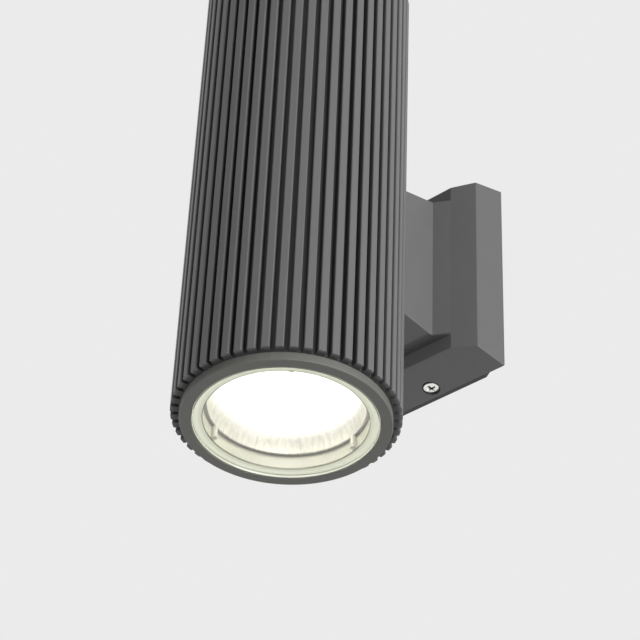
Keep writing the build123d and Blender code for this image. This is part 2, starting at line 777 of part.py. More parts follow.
# Terminal block: clamp screws in front, wires from below and above, an ear at each side
with BuildPart() as terminal_block:
    with BuildSketch(front_plane(plate_front, 0, terminal_z)):
        Rectangle(terminal_width + 2 * terminal_end, terminal_height)
        with GridLocations(2 * terminal_screw_x, 0, 2, 1):
            Circle(small_screw[2] + screw_fit, mode=Mode.SUBTRACT)
    extrude(amount=terminal_ear_thickness)
    with BuildSketch(front_plane(plate_front, 0, terminal_z)):
        Rectangle(terminal_width, terminal_height)
    extrude(amount=terminal_depth)
    with BuildSketch(front_plane(plate_front - terminal_depth, 0, terminal_z)):
        with GridLocations(terminal_pitch, 0, terminal_count, 1):
            Circle(terminal_well_radius)
    extrude(amount=-terminal_well_depth, mode=Mode.SUBTRACT)
    with BuildSketch(Plane(origin=(0, terminal_entry_y, terminal_top))):
        with GridLocations(terminal_pitch, 0, terminal_count, 1):
            Circle(terminal_entry_radius)
    extrude(amount=-terminal_height, mode=Mode.SUBTRACT)
terminal_block.part.label = "terminal_block"
export_step(terminal_block.part, "parts/terminal_block.step")

with BuildPart() as terminal_screws:
    with BuildSketch(front_plane(plate_front - terminal_depth + terminal_well_depth, 0, terminal_z)):
        with GridLocations(terminal_pitch, 0, terminal_count, 1):
            Circle(terminal_screw_radius)
    extrude(amount=terminal_screw_height)
    slot_y = plate_front - terminal_depth + terminal_well_depth - terminal_screw_height
    with BuildSketch(front_plane(slot_y, 0, terminal_z)):
        with GridLocations(terminal_pitch, 0, terminal_count, 1):
            Rectangle(2 * terminal_screw_radius, terminal_slot_width)
    extrude(amount=-terminal_slot_depth, mode=Mode.SUBTRACT)
terminal_screws.part.label = "terminal_screws"
export_step(terminal_screws.part, "parts/terminal_screws.step")

ear_seat_y = plate_front - terminal_ear_thickness
ear_seats = [front_plane(ear_seat_y, hand * terminal_screw_x, terminal_z) for hand in (-1, 1)]
terminal_fixing_screws = pan_screws(ear_seats, small_screw, terminal_ear_thickness + plate_thickness)
terminal_fixing_screws.part.label = "terminal_fixing_screws"
export_step(terminal_fixing_screws.part, "parts/terminal_fixing_screws.step")

earth_seat = front_plane(plate_front - washer_thickness, earth_x, earth_z)
earth_screw = pan_screws([earth_seat], middle_screw, washer_thickness + plate_thickness)
earth_screw.part.label = "earth_screw"
export_step(earth_screw.part, "parts/earth_screw.step")

with BuildPart() as earth_washer:
    with BuildSketch(front_plane(plate_front, earth_x, earth_z)):
        Circle(washer_radius)
        Circle(middle_screw[2] + screw_fit, mode=Mode.SUBTRACT)
    extrude(amount=washer_thickness)
earth_washer.part.label = "earth_washer"
export_step(earth_washer.part, "parts/earth_washer.step")

# Supply wires: from the terminals through the arm and its bush to the back of the driver
bundle = sorted(round_places(supply_circle, terminal_count, 90))
with BuildPart() as supply_wires:
    for pole in range(terminal_count):
        pole_x = (pole - (terminal_count - 1) / 2) * terminal_pitch
        bundle_x, bundle_z = bundle[pole]
        with BuildLine() as supply_route:
            FilletPolyline(
                (pole_x, terminal_entry_y, terminal_top - supply_tail),
                (pole_x, terminal_entry_y, terminal_top + supply_rise),
                (bundle_x, base_front, bundle_z),
                (bundle_x, driver_back, bundle_z),
                radius=supply_bend,
            )
        with BuildSketch(Plane(origin=supply_route.line @ 0, z_dir=supply_route.line % 0)):
            Circle(supply_wire_radius)
        sweep()
supply_wires.part.label = "supply_wires"
export_step(supply_wires.part, "parts/supply_wires.step")
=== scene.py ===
import math
import bmesh
import bpy
import numpy as np
from mathutils import Matrix, Vector


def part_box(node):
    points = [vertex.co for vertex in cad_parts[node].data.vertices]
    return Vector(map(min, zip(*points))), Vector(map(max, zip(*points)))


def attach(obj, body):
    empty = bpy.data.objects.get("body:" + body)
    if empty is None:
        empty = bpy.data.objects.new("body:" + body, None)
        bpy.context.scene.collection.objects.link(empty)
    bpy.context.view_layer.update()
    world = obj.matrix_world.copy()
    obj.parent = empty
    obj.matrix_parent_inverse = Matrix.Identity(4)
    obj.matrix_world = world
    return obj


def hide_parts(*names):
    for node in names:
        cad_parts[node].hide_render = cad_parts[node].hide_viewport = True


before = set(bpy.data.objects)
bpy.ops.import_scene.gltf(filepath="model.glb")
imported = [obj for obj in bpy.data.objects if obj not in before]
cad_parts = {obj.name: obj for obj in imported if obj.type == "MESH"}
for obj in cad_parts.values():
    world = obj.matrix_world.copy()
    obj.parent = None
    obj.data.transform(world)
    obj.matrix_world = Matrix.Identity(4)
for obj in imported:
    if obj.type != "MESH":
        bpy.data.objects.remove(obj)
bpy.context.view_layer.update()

mm = 0.001
black = (0.0, 0.0, 0.0, 1.0)
white = (1.0, 1.0, 1.0, 1.0)
ends = {"lower": -1, "upper": 1}  # the way each end of the light faces, down or up


def paint(red, green, blue):
    # a colour as it shows on screen, 0 to 255, turned into the linear value that a shader takes
    screen = np.array([red, green, blue]) / 255
    linear = np.where(screen > 0.04045, ((screen + 0.055) / 1.055) ** 2.4, screen / 12.92)
    return (*linear.tolist(), 1.0)


# Shader wires: an expression such as 1 - mask * 0.3 adds its Math nodes
class Wire:
    def __init__(self, finish, socket):
        self.finish = finish
        self.socket = socket

    def maths(self, operation, first, second=0.0):
        return self.finish.add("Math", {"operation": operation}, {0: first, 1: second})

    def __add__(self, other):
        return self.maths("ADD", self, other)

    def __radd__(self, other):
        return self.maths("ADD", other, self)

    def __sub__(self, other):
        return self.maths("SUBTRACT", self, other)

    def __rsub__(self, other):
        return self.maths("SUBTRACT", other, self)

    def __mul__(self, other):
        return self.maths("MULTIPLY", self, other)

    def __rmul__(self, other):
        return self.maths("MULTIPLY", other, self)

    def __pow__(self, other):
        return self.maths("POWER", self, other)

    def root(self):
        return self.maths("SQRT", self)

    def size(self):
        return self.maths("ABSOLUTE", self)

    def wave(self):
        return self.maths("SINE", self)

    def rise(self, low, high):
        # 0 below low, 1 above high, with a smooth step between
        sockets = {"Value": self, "From Min": low, "From Max": high}
        return self.finish.add("MapRange", {"interpolation_type": "SMOOTHSTEP"}, sockets)

    def between(self, low, high):
        # low where the wire is 0, high where it is 1
        return low + self * (high - low)


mixSockets = {"factor": 0, "first": 6, "second": 7, "result": 2}  # a Mix node's sockets for colours


# Finish: one material with a Principled surface, and the few node helpers that all finishes share
class Finish:
    def __init__(self, name, **fixed):
        self.material = bpy.data.materials.new(name)
        self.material.use_nodes = True
        self.tree = self.material.node_tree
        self.tree.nodes.clear()
        self.surface = self.tree.nodes.new("ShaderNodeBsdfPrincipled")
        self.output = self.tree.nodes.new("ShaderNodeOutputMaterial")
        self.tree.links.new(self.surface.outputs[0], self.output.inputs["Surface"])
        for socket, value in fixed.items():
            self.set(socket.replace("_", " ").title().replace("Ior", "IOR"), value)

    def feed(self, socket, value):
        if isinstance(value, Wire):
            self.tree.links.new(value.socket, socket)
        else:
            socket.default_value = value

    def set(self, socket, value):
        self.feed(self.surface.inputs[socket], value)

    def add(self, kind, settings=None, sockets=None, output=0):
        node = self.tree.nodes.new("ShaderNode" + kind)
        for name, value in (settings or {}).items():
            setattr(node, name, value)
        for name, value in (sockets or {}).items():
            self.feed(node.inputs[name], value)
        return Wire(self, node.outputs[output])

    def place(self):
        return self.add("TexCoord", output="Object")

    def axes(self, vector):
        split = self.add("SeparateXYZ", sockets={0: vector}).socket.node
        return [Wire(self, output) for output in split.outputs]

    def distanceFrom(self, vector, line):
        # distance from an upright line, which is given by its x and y
        x, y, _ = self.axes(vector)
        return ((x - line[0]) ** 2 + (y - line[1]) ** 2).root()

    def noise(self, vector, scale, detail=3.0, roughness=0.5):
        sockets = {"Vector": vector, "Scale": scale, "Detail": detail, "Roughness": roughness}
        return self.add("TexNoise", sockets=sockets)

    def streaks(self, vector, scale, detail=3.0):
        # noise drawn out along the axis whose scale is least
        stretched = self.add("Mapping", sockets={"Vector": vector, "Scale": scale})
        return self.noise(stretched, 1.0, detail)

    def mix(self, mode, factor, first, second):
        sockets = {mixSockets["factor"]: factor, mixSockets["first"]: first, mixSockets["second"]: second}
        return self.add("Mix", {"data_type": "RGBA", "blend_type": mode}, sockets, mixSockets["result"])

    def blend(self, factor, first, second):
        return self.mix("MIX", factor, first, second)

    def shade(self, colour, factor):
        # a colour made darker or lighter by a factor that varies over the surface
        grey = self.add("CombineColor", sockets={0: factor, 1: factor, 2: factor})
        return self.mix("MULTIPLY", 1.0, colour, grey)

    def bump(self, height, strength, depth):
        return self.add("Bump", sockets={"Height": height, "Strength": strength, "Distance": depth})


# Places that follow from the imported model: the tube's axis and radius over its ribs, and the cover screws
tubeLow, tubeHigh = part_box("tube_housing")
axisY = (tubeLow[1] + tubeHigh[1]) / 2
tubeAxis = (0.0, axisY)
tubeRadius = (tubeHigh[0] - tubeLow[0]) / 2
screwLow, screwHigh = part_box("cover_screws")
screwY = (screwLow[1] + screwHigh[1]) / 2
screwAxis = (0.0, screwY)
print("frame loaded:", len(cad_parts), "nodes, tube radius", round(tubeRadius, 4))


coat = {
    "colour": paint(104, 104, 104),
    # the same coat as the rest, painted a little lighter: painted light on the ring
    "ringColour": paint(112, 112, 108),
    "plateColour": paint(62, 62, 60),
    "gloss": 0.42,
    "peel": {"scale": 2600.0, "detail": 4.0, "roughness": 0.6},
    "peelTone": (-0.06, 0.06),
    "peelBump": {"strength": 0.35, "depth": 0.02 * mm},
    "mottle": {"scale": 160.0, "detail": 5.0, "roughness": 0.6},
    "mottleTone": (0.95, 1.05),
    "roughness": (0.44, 0.56),
}

ribs = {
    "flankDepth": 2.2 * mm,  # below the crowns, the groove's full painted shade starts
    "crownDepth": 0.15 * mm,
    "tone": (0.36, 1.04),  # painted shade: darkest in the groove, a little lighter on the crown
    "drawn": {"scale": (900.0, 900.0, 14.0)},
    "drawnTone": (-0.04, 0.04),
}

# painted shade under the arm's foot, in front of the base, deepening towards it
paintedArmFootShade = {
    "starts": (41.2 * mm, 41.5 * mm),  # height off the light's middle over which the painted shade comes in
    "ends": (42.2 * mm, 42.5 * mm),  # and over which it goes out
    "baseFront": (-24.9 * mm, -24.6 * mm),
    "corner": (-40.7 * mm, -24.7 * mm),  # the painted shade deepens on the way to the base
    "shade": (0.28, 0.54),
}

# painted shade in a ring round the screw heads on the casting
screwShadeRing = {
    "ring": (4.15 * mm, 4.55 * mm),  # painted shade: dark out to the first radius, gone at the second
    "tone": (0.3, 1.0),
}


def powderCoat(name, colour=coat["colour"], ribbed=False, casting=False):
    # satin powder coat: fine orange peel and soft mottling. On the tube, shade is painted into the grooves
    # and the crowns are painted a little lighter; the casting has shade painted under the arm's foot and in a
    # ring round the screw heads
    finish = Finish(name, specular_ior_level=coat["gloss"])
    place = finish.place()
    peel = finish.noise(place, **coat["peel"])
    mottle = finish.noise(place, **coat["mottle"])
    tone = mottle.between(*coat["mottleTone"]) + peel.between(*coat["peelTone"])
    if ribbed:
        radius = finish.distanceFrom(place, tubeAxis)
        # painted shade: the colour darkens from the crowns down into the grooves, and the crowns are a little
        # lighter
        crown = radius.rise(tubeRadius - ribs["flankDepth"], tubeRadius - ribs["crownDepth"])
        drawn = finish.streaks(place, **ribs["drawn"])
        tone = tone * crown.between(*ribs["tone"]) + drawn.between(*ribs["drawnTone"])
    if casting:
        # painted shade under the arm's foot, deepest at the base
        _, y, z = finish.axes(place)
        foot = z.size().rise(*paintedArmFootShade["starts"]) * (1 - z.size().rise(*paintedArmFootShade["ends"]))
        ahead = 1 - y.rise(*paintedArmFootShade["baseFront"])
        corner = y.rise(*paintedArmFootShade["corner"])
        tone = tone * (1 - foot * ahead * corner.between(*paintedArmFootShade["shade"]))
        # painted shade ring round each screw head
        outsideScrewShade = finish.distanceFrom(place, screwAxis).rise(*screwShadeRing["ring"])
        tone = tone * outsideScrewShade.between(*screwShadeRing["tone"])
    finish.set("Base Color", finish.shade(colour, tone))
    finish.set("Roughness", mottle.between(*coat["roughness"]))
    finish.set("Normal", finish.bump(peel, **coat["peelBump"]))
    return finish.material


plating = {
    "bluish": paint(196, 198, 200),
    "yellowish": paint(222, 220, 210),
    "cloud": {"scale": 220.0, "detail": 4.0, "roughness": 0.6},
    "cloudEdge": (0.35, 0.7),
    "roughness": (0.26, 0.42),
    "scratch": {"scale": (2500.0, 180.0, 2500.0), "detail": 2.0},
    "scratchRoughness": 0.08,
    "scratchBump": {"strength": 0.2, "depth": 0.01 * mm},
}


def brightZinc(name):
    # zinc plating over drawn wire or sheet: bluish grey with cloudy passivation and fine scratches
    finish = Finish(name, metallic=1.0)
    place = finish.place()
    cloud = finish.noise(place, **plating["cloud"])
    scratch = finish.streaks(place, **plating["scratch"])
    clouded = cloud.rise(*plating["cloudEdge"])
    finish.set("Base Color", finish.blend(clouded, plating["bluish"], plating["yellowish"]))
    finish.set("Roughness", cloud.between(*plating["roughness"]) + scratch * plating["scratchRoughness"])
    finish.set("Normal", finish.bump(scratch, **plating["scratchBump"]))
    return finish.material


screwHead = {
    # painted shade in the cross recess
    "dusty": paint(40, 39, 36),
    "bright": paint(240, 240, 236),
    "dustyBelow": 1.15 * mm,  # depths under the dome's top
    "brightAbove": 0.6 * mm,
    "cloudScale": 900.0,
    "roughness": (0.3, 0.46),
    "bump": {"strength": 0.3, "depth": 0.02 * mm},
}


def screwZinc(name):
    # the same plating, bright on the head, with shade painted dark down in its cross recess
    finish = Finish(name, metallic=1.0)
    place = finish.place()
    level = finish.axes(place)[2].size()
    top = screwHigh[2]
    # painted shade: dark below these depths in the recess, the plating's colour above
    openFace = level.rise(top - screwHead["dustyBelow"], top - screwHead["brightAbove"])
    cloud = finish.noise(place, screwHead["cloudScale"])
    finish.set("Base Color", finish.blend(openFace, screwHead["dusty"], screwHead["bright"]))
    finish.set("Roughness", cloud.between(*screwHead["roughness"]))
    finish.set("Normal", finish.bump(cloud, **screwHead["bump"]))
    return finish.material


turned = {
    "colour": paint(205, 206, 208),
    "ringScale": 9000.0,
    "ringRoughness": 0.05,
    "ringBump": {"strength": 0.25, "depth": 0.01 * mm},
    "cloud": {"scale": 90.0, "detail": 4.0},
    "tone": (0.92, 1.08),
    "roughness": (0.3, 0.42),
}


def turnedAluminium(name):
    # turned face: fine rings round the tube's axis, and a soft sheen that varies
    finish = Finish(name, metallic=1.0)
    place = finish.place()
    ring = (finish.distanceFrom(place, tubeAxis) * turned["ringScale"]).wave()
    cloud = finish.noise(place, **turned["cloud"])
    finish.set("Base Color", finish.shade(turned["colour"], cloud.between(*turned["tone"])))
    finish.set("Roughness", cloud.between(*turned["roughness"]) + ring * turned["ringRoughness"])
    finish.set("Normal", finish.bump(ring, **turned["ringBump"]))
    return finish.material


hammered = {
    "colour": paint(208, 206, 198),
    # painted glare: the bowl's own glow deep inside, though it is no lamp
    "glare": (1.0, 0.985, 0.95, 1.0),
    "glareStrength": 0.85,
    "glareFrom": 3.0 * mm,  # depths in from the bowl's mouth
    "glareFull": 15.0 * mm,
    "streak": {"scale": (700.0, 700.0, 36.0)},
    "streakTone": (0.55, 1.3),
    "streakBump": {"strength": 0.6, "depth": 0.2 * mm},
    "roughness": (0.44, 0.54),
    "grainScale": 1500.0,
    "grainRoughness": 0.05,
}


def hammeredAluminium(name):
    # bright sheet: the dimples are in the mesh, and the surface adds drawing streaks down the bowl.
    # Deep in the bowl a painted glow stands in for the lit lamp's glare
    finish = Finish(name, metallic=1.0, emission_strength=hammered["glareStrength"])
    place = finish.place()
    _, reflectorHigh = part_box("upper_reflector")
    depth = reflectorHigh[2] - finish.axes(place)[2].size()
    paintedGlareMask = depth.rise(hammered["glareFrom"], hammered["glareFull"])
    streak = finish.streaks(place, **hammered["streak"])
    grain = finish.noise(place, hammered["grainScale"])
    finish.set("Base Color", finish.shade(hammered["colour"], streak.between(*hammered["streakTone"])))
    # painted glow standing in for the lamp's glare deep in the bowl
    finish.set("Emission Color", finish.blend(paintedGlareMask, black, hammered["glare"]))
    finish.set("Roughness", streak.between(*hammered["roughness"]) + grain * hammered["grainRoughness"])
    finish.set("Normal", finish.bump(streak, **hammered["streakBump"]))
    return finish.material


glass = {
    "index": 1.46,
    "tint": (0.985, 1.0, 0.99, 1.0),
    "rim": (40.3 * mm, 40.4 * mm),  # radii between which the clear face turns to ground rim
    "rimColour": paint(206, 208, 192),
    "rimGlow": 0.45,
    "rimRoughness": 0.3,
    "hazeScale": 35.0,
    "hazeRoughness": 0.01,
}


def clearGlass(name):
    # clear glass that bends light, with an index a little under float glass's 1.52; the ground rim is painted
    # pale and given a painted glow, standing in for the lamp's light in it
    finish = Finish(name, transmission_weight=1.0, ior=glass["index"], emission_strength=glass["rimGlow"])
    place = finish.place()
    haze = finish.noise(place, glass["hazeScale"])
    rim = finish.distanceFrom(place, tubeAxis).rise(*glass["rim"])
    finish.set("Base Color", finish.blend(rim, glass["tint"], glass["rimColour"]))
    # painted glow on the rim, though the glass is no lamp
    finish.set("Emission Color", finish.blend(rim, black, glass["rimColour"]))
    finish.set("Roughness", haze * glass["hazeRoughness"] + rim * glass["rimRoughness"])
    return finish.material


seal = {
    "inner": 35.9 * mm,
    "outerGap": 0.1 * mm,
    "lift": 0.05 * mm,  # gap from the glass to the humps' tops
    "hump": 0.11 * mm,
    "humps": 2,
    "across": 24,
    "around": 256,
    "sharpAngle": 50,  # degrees
    "gloss": 0.4,
    # painted glow: the seal gives off light, though it is no lamp
    "glow": 0.25,
    "body": paint(214, 214, 194),
    "crestColour": paint(232, 232, 212),
    "crest": 38.8 * mm,
    "crestHalfWidth": 2.2 * mm,
    "shadow": paint(92, 92, 66),
    "shadowEdge": (36.05 * mm, 36.4 * mm),
    "fleckScale": 900.0,
    "tone": (0.97, 1.03),
    "glowTone": (0.9, 1.1),
    "roughness": (0.34, 0.46),
    "bump": {"strength": 0.2, "depth": 0.02 * mm},
}


def milkySilicone(name):
    # milky rubber: a painted glow stands in for the lamp's light through it, a painted highlight lightens it
    # along its crest, and a painted shadow makes a dark line where it meets the spacer
    finish = Finish(name, specular_ior_level=seal["gloss"], emission_strength=seal["glow"])
    place = finish.place()
    radius = finish.distanceFrom(place, tubeAxis)
    crest = 1 - (radius - seal["crest"]).size() * (1 / seal["crestHalfWidth"])
    # painted highlight along the crest, and a painted shadow line at the inner edge
    body = finish.blend(crest.rise(0.0, 1.0), seal["body"], seal["crestColour"])
    lit = finish.blend(radius.rise(*seal["shadowEdge"]), seal["shadow"], body)
    fleck = finish.noise(place, seal["fleckScale"])
    finish.set("Base Color", finish.shade(lit, fleck.between(*seal["tone"])))
    # painted glow
    finish.set("Emission Color", finish.shade(lit, fleck.between(*seal["glowTone"])))
    finish.set("Roughness", fleck.between(*seal["roughness"]))
    finish.set("Normal", finish.bump(fleck, **seal["bump"]))
    return finish.material


moulding = {
    "spark": {"scale": 1200.0, "detail": 4.0, "roughness": 0.65},
    "sparkRoughness": 0.1,
    "bump": {"strength": 0.25, "depth": 0.02 * mm},
    "flow": {"scale": 55.0, "detail": 4.0},
    "flowTone": (0.95, 1.05),
}

plastics = {
    # the cream spacer gets a painted glow, though it is no lamp
    "cream": {"colour": paint(160, 159, 144), "roughness": 0.4, "glow": 0.3},
    "holder": {"colour": paint(232, 232, 226), "roughness": 0.45},
    "driverCase": {"colour": paint(226, 226, 220), "roughness": 0.5},
    "terminals": {"colour": paint(206, 206, 198), "roughness": 0.3, "gloss": 0.6},
}


def mouldedPlastic(name, colour, roughness, gloss=0.5, glow=0.0):
    # injection moulded: spark-eroded grain, faint flow marks; thin plastic beside the lamp gets a little
    # painted glow
    finish = Finish(name, specular_ior_level=gloss, emission_strength=glow)
    place = finish.place()
    spark = finish.noise(place, **moulding["spark"])
    flow = finish.noise(place, **moulding["flow"])
    spread = moulding["sparkRoughness"]
    finish.set("Base Color", finish.shade(colour, flow.between(*moulding["flowTone"])))
    # painted glow: emission on a part that is no lamp
    if glow:
        finish.set("Emission Color", finish.shade(colour, flow.between(*moulding["flowTone"])))
    finish.set("Roughness", spark.between(roughness - spread, roughness + spread))
    finish.set("Normal", finish.bump(spark, **moulding["bump"]))
    return finish.material


rubber = {
    "gloss": 0.3,
    "dark": paint(38, 38, 39),
    "bloomed": paint(58, 57, 55),
    "bloom": {"scale": 130.0, "detail": 5.0, "roughness": 0.6},
    "bloomEdge": (0.4, 0.75),
    "roughness": (0.62, 0.82),
    "poreScale": 1800.0,
    "poreBump": {"strength": 0.4, "depth": 0.02 * mm},
}


def blackRubber(name):
    # matt black rubber with a greyish bloom in patches and fine pores
    finish = Finish(name, specular_ior_level=rubber["gloss"])
    place = finish.place()
    bloom = finish.noise(place, **rubber["bloom"])
    pore = finish.noise(place, rubber["poreScale"])
    bloomed = bloom.rise(*rubber["bloomEdge"])
    finish.set("Base Color", finish.blend(bloomed, rubber["dark"], rubber["bloomed"]))
    finish.set("Roughness", bloom.between(*rubber["roughness"]))
    finish.set("Normal", finish.bump(pore, **rubber["poreBump"]))
    return finish.material


chip = {
    "emitterEdge": (7.4 * mm, 7.5 * mm),
    "phosphor": paint(250, 226, 120),
    "board": paint(236, 236, 232),
    "glow": (1.0, 0.975, 0.93, 1.0),
    "strength": 96.0,
    "grainScale": 700.0,
    "roughness": (0.3, 0.5),
}


def lampChip(name):
    # a round yellow emitter, lit, on a white ceramic board
    finish = Finish(name, emission_strength=chip["strength"])
    place = finish.place()
    board = finish.distanceFrom(place, tubeAxis).rise(*chip["emitterEdge"])
    grain = finish.noise(place, chip["grainScale"])
    finish.set("Base Color", finish.blend(board, chip["phosphor"], chip["board"]))
    finish.set("Emission Color", finish.blend(board, chip["glow"], black))
    finish.set("Roughness", grain.between(*chip["roughness"]))
    return finish.material


wires = {
    "gloss": 0.5,
    "scuffScale": 600.0,
    "scuffTone": (0.9, 1.1),
    "supplyEdge": (0.5 * mm, 0.7 * mm),  # where the middle wire ends and an outer one starts
    "supplyRoughness": (0.36, 0.51),
    "brown": paint(96, 58, 36),
    "blue": paint(52, 96, 160),
    "earth": paint(120, 160, 52),
    "leadEdge": (-0.1 * mm, 0.1 * mm),
    "leadRoughness": (0.4, 0.55),
    "black": paint(34, 34, 34),
    "red": paint(170, 34, 28),
}


def supplyInsulation(name):
    # three wires side by side: brown, earth and blue by their place across the lamp
    finish = Finish(name, specular_ior_level=wires["gloss"])
    place = finish.place()
    x = finish.axes(place)[0]
    right = x.rise(*wires["supplyEdge"])
    middle = 1 - x.size().rise(*wires["supplyEdge"])
    outer = finish.blend(right, wires["brown"], wires["blue"])
    colour = finish.blend(middle, outer, wires["earth"])
    scuff = finish.noise(place, wires["scuffScale"])
    finish.set("Base Color", finish.shade(colour, scuff.between(*wires["scuffTone"])))
    finish.set("Roughness", scuff.between(*wires["supplyRoughness"]))
    return finish.material


def leadInsulation(name):
    # two wires side by side, black on the left and red on the right
    finish = Finish(name, specular_ior_level=wires["gloss"])
    place = finish.place()
    right = finish.axes(place)[0].rise(*wires["leadEdge"])
    colour = finish.blend(right, wires["black"], wires["red"])
    scuff = finish.noise(place, wires["scuffScale"])
    finish.set("Base Color", finish.shade(colour, scuff.between(*wires["scuffTone"])))
    finish.set("Roughness", scuff.between(*wires["leadRoughness"]))
    return finish.material


finishes = {
    "tube_housing": powderCoat("coatedTube", ribbed=True),
    "wall_bracket": powderCoat("coatedCasting", casting=True),
    "bezel_ring": powderCoat("coatedRing", coat["ringColour"]),
    "wall_plate": powderCoat("coatedPlate", coat["plateColour"]),
    "glass": clearGlass("clearGlass"),
    "glass_seal": milkySilicone("milkySilicone"),
    "spacer_ring": mouldedPlastic("creamPlastic", **plastics["cream"]),
    "reflector": hammeredAluminium("hammeredAluminium"),
    "led_holder": mouldedPlastic("holderPlastic", **plastics["holder"]),
    "led_chip": lampChip("lampChip"),
    "led_leads": leadInsulation("leadInsulation"),
    "heat_plate": turnedAluminium("turnedAluminium"),
    "backing_plate": turnedAluminium("backingAluminium"),
    "led_driver": mouldedPlastic("driverCase", **plastics["driverCase"]),
    "terminal_block": mouldedPlastic("terminalPlastic", **plastics["terminals"]),
    "supply_wires": supplyInsulation("supplyInsulation"),
}
zinc = brightZinc("brightZinc")
rubberSkin = blackRubber("blackRubber")
for rubberNode in ("arm_gasket", "wall_gasket", "wire_bush", "cable_grommet"):
    finishes[rubberNode] = rubberSkin

for nodeName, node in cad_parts.items():
    plainName = nodeName.replace("lower_", "").replace("upper_", "")
    node.data.materials.clear()
    node.data.materials.append(finishes.get(plainName, zinc))  # all other metal parts are zinc plated
print("finishes set on", len(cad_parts), "nodes")


mergeDistance = 1e-7  # points closer than this are one point


def gridPiece(name, points, material, sharpAngle, closedRows=True):
    # points has the shape rows, columns, 3: rows go along a profile, columns round it, closed on themselves.
    # Doubles at seams and poles are merged, faces turned outwards, and edges past sharpAngle stay crisp
    rows, columns, _ = points.shape
    row = np.arange(rows if closedRows else rows - 1)
    a, b = np.meshgrid(row, np.arange(columns), indexing="ij")
    nextA = (a + 1) % rows
    nextB = (b + 1) % columns
    corners = [a * columns + b, a * columns + nextB, nextA * columns + nextB, nextA * columns + b]
    faces = np.stack(corners, axis=-1).reshape(-1, 4)
    mesh = bpy.data.meshes.new(name)
    mesh.from_pydata(points.reshape(-1, 3).tolist(), [], faces.tolist())
    shell = bmesh.new()
    shell.from_mesh(mesh)
    bmesh.ops.remove_doubles(shell, verts=shell.verts, dist=mergeDistance)
    bmesh.ops.recalc_face_normals(shell, faces=shell.faces)
    shell.to_mesh(mesh)
    shell.free()
    mesh.polygons.foreach_set("use_smooth", [True] * len(mesh.polygons))
    mesh.set_sharp_from_angle(angle=math.radians(sharpAngle))
    mesh.materials.append(material)
    piece = bpy.data.objects.new(name, mesh)
    bpy.context.scene.collection.objects.link(piece)
    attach(piece, "root")
    return piece


bowl = {
    "neck": 11.0 * mm,
    "rim": 34.2 * mm,
    "bend": (30.5 * mm, 9.5 * mm),  # radius, and height over the neck
    "sheet": 0.8 * mm,
    "columns": 60,
    "rows": 5,
    "dimple": 0.3 * mm,
    "neckFade": 12,  # the dimples reach their full depth at 1/12 of the way from the neck
    "stepsAcross": 6,
    "stepsAlong": 11,
    "bead": 0.45 * mm,
    "beadLift": 0.16 * mm,
    "beadSteps": 6,
    "sharpAngle": 40,  # degrees
}


def reflectorPoints(end, side):
    # the inner wall runs from neck to rim on a curve pulled towards one bend, at the share t of the way:
    # neck * (1 - t)^2 + 2 * bend * t * (1 - t) + rim * t^2.
    # It is beaten into columns and rows of shallow dimples, dimple * (1 - u^2) * (1 - v^2), with u and v
    # from -1 to 1 across each, every other row half a column on, and ends in a small rolled bead
    low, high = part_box(end + "_reflector")
    back, mouth = (low[2], high[2]) if side > 0 else (high[2], low[2])
    flange = (high[0] - low[0]) / 2
    depth = abs(mouth - back) - bowl["sheet"]
    bendRadius, bendLevel = bowl["bend"]
    along = np.linspace(0, 1, bowl["rows"] * bowl["stepsAlong"] + 1)
    around = np.linspace(0, 2 * np.pi, bowl["columns"] * bowl["stepsAcross"], endpoint=False)
    radius = bowl["neck"] * (1 - along) ** 2 + 2 * bendRadius * along * (1 - along) + bowl["rim"] * along**2
    level = 2 * bendLevel * along * (1 - along) + depth * along**2
    t, angle = np.meshgrid(along, around, indexing="ij")
    row = t * bowl["rows"]
    column = angle / (2 * np.pi) * bowl["columns"] + 0.5 * (np.floor(row) % 2)
    u = 2 * (column % 1) - 1
    v = 2 * (row % 1) - 1
    pressed = bowl["dimple"] * (1 - u**2) * (1 - v**2) * np.minimum(1, t * bowl["neckFade"])
    flat = np.ones((1, len(around)))
    innerRadius = radius[:, None] + pressed
    innerLevel = level[:, None] * flat
    turn = np.linspace(np.pi, 0, bowl["beadSteps"] + 1)[1:, None]
    beadRadius = (bowl["rim"] + bowl["bead"] * (1 + np.cos(turn))) * flat
    beadLevel = (depth + bowl["beadLift"] + bowl["bead"] * np.sin(turn)) * flat
    flangeRadius = flange * np.ones((2, 1)) * flat
    flangeLevel = np.array([[depth + bowl["beadLift"]], [depth]]) * flat
    outerRadius = (radius[::-1, None] + bowl["sheet"]) * flat
    outerLevel = innerLevel[::-1]
    allRadius = np.concatenate([innerRadius, beadRadius, flangeRadius, outerRadius])
    allLevel = back + side * np.concatenate([innerLevel, beadLevel, flangeLevel, outerLevel])
    return np.stack([allRadius * np.cos(around), axisY + allRadius * np.sin(around), allLevel], axis=-1)


for end, side in ends.items():
    points = reflectorPoints(end, side)
    pieceName = end + "HammeredReflector"
    reflector = gridPiece(pieceName, points, finishes["reflector"], bowl["sharpAngle"])
    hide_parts(end + "_reflector")
print("reflectors beaten")


